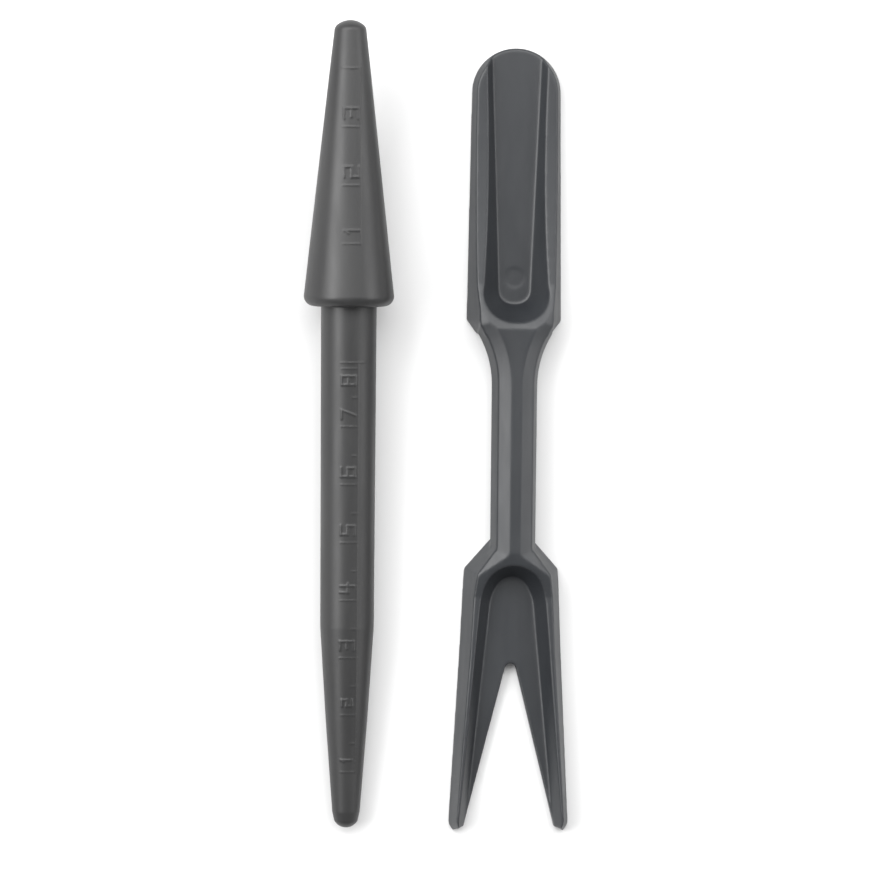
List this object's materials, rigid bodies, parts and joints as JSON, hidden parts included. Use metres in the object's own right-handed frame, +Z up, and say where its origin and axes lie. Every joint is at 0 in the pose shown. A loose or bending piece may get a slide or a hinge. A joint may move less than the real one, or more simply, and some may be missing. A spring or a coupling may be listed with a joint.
{
  "type": "seedling dibber and widger set",
  "caption": "Pair of moulded plastic seedling tools: a graduated dibber with a cone handle and a widger with an open scoop at one end and a V-notched fork at the other",
  "frame": {"origin": "on the ground, under the middle of the set's box as both tools lie side by side", "axes": "+Z up; +Y along both tools, towards the scoop of the widger and the cone of the dibber; +X from the dibber to the widger"},
  "size_m": [0.0605, 0.178, 0.0198],
  "materials": {
    "widger_plastic": "dark grey moulded plastic, satin, faintly cool",
    "dibber_plastic": "dark grey moulded plastic, satin"
  },
  "bodies": {
    "widger": {"widger": "widger_plastic"},
    "dibber": {"dibber_rod": "dibber_plastic", "dibber_cone": "dibber_plastic"}
  },
  "joints": [
    {"name": "dibber_lift_off", "type": "slide", "parent": "widger", "child": "dibber", "axis": [0, 0, 1], "range_m": [0, 0.06]}
  ]
}
